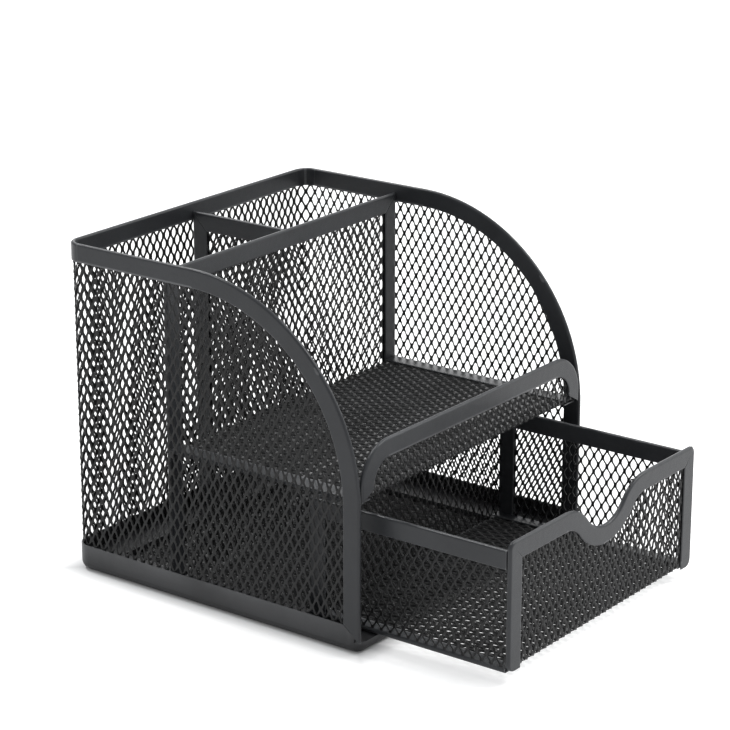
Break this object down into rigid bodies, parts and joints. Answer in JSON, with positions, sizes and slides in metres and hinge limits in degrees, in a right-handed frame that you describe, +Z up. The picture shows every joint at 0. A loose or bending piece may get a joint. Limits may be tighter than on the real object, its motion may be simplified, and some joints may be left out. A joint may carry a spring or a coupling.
{
  "type": "pen stand with drawer",
  "caption": "Mesh desk organiser with rounded side walls, a split pen compartment behind a tray for square notes, and a pull-out drawer with a finger notch below.",
  "frame": {"origin": "on the table, under the middle of the stand's box with the drawer at rest, pulled out 50 mm", "axes": "+Z up; the drawer pulls out towards -Y, so +Y points to the back; +X is to the right of someone who looks along +Y"},
  "size_m": [0.126, 0.17, 0.114],
  "materials": {
    "rims": "satin black powder coat on folded sheet",
    "mesh": "satin black powder coat on expanded steel",
    "base": "satin black powder coat on pressed sheet"
  },
  "bodies": {
    "housing": {"base_frame": "base", "floor_mesh": "mesh", "left_side_rim": "rims", "right_side_rim": "rims", "left_side_mesh": "mesh", "right_side_mesh": "mesh", "back_rim": "rims", "back_mesh": "mesh", "divider_frame": "rims", "divider_mesh": "mesh", "pen_partition_frame": "rims", "pen_partition_mesh": "mesh", "note_lip_rim": "rims", "note_lip_mesh": "mesh", "note_shelf_mesh": "mesh", "note_shelf_rail_left": "rims", "note_shelf_rail_right": "rims"},
    "drawer": {"drawer_front_rim": "rims", "drawer_front_mesh": "mesh", "drawer_floor_mesh": "mesh", "drawer_left_rim": "rims", "drawer_right_rim": "rims", "drawer_left_mesh": "mesh", "drawer_right_mesh": "mesh", "drawer_back_rim": "rims", "drawer_back_mesh": "mesh", "drawer_left_hem": "rims", "drawer_right_hem": "rims"}
  },
  "joints": [
    {"name": "drawer_slide", "type": "slide", "parent": "housing", "child": "drawer", "axis": [0, -1, 0], "range_m": [-0.05, 0.016]}
  ]
}
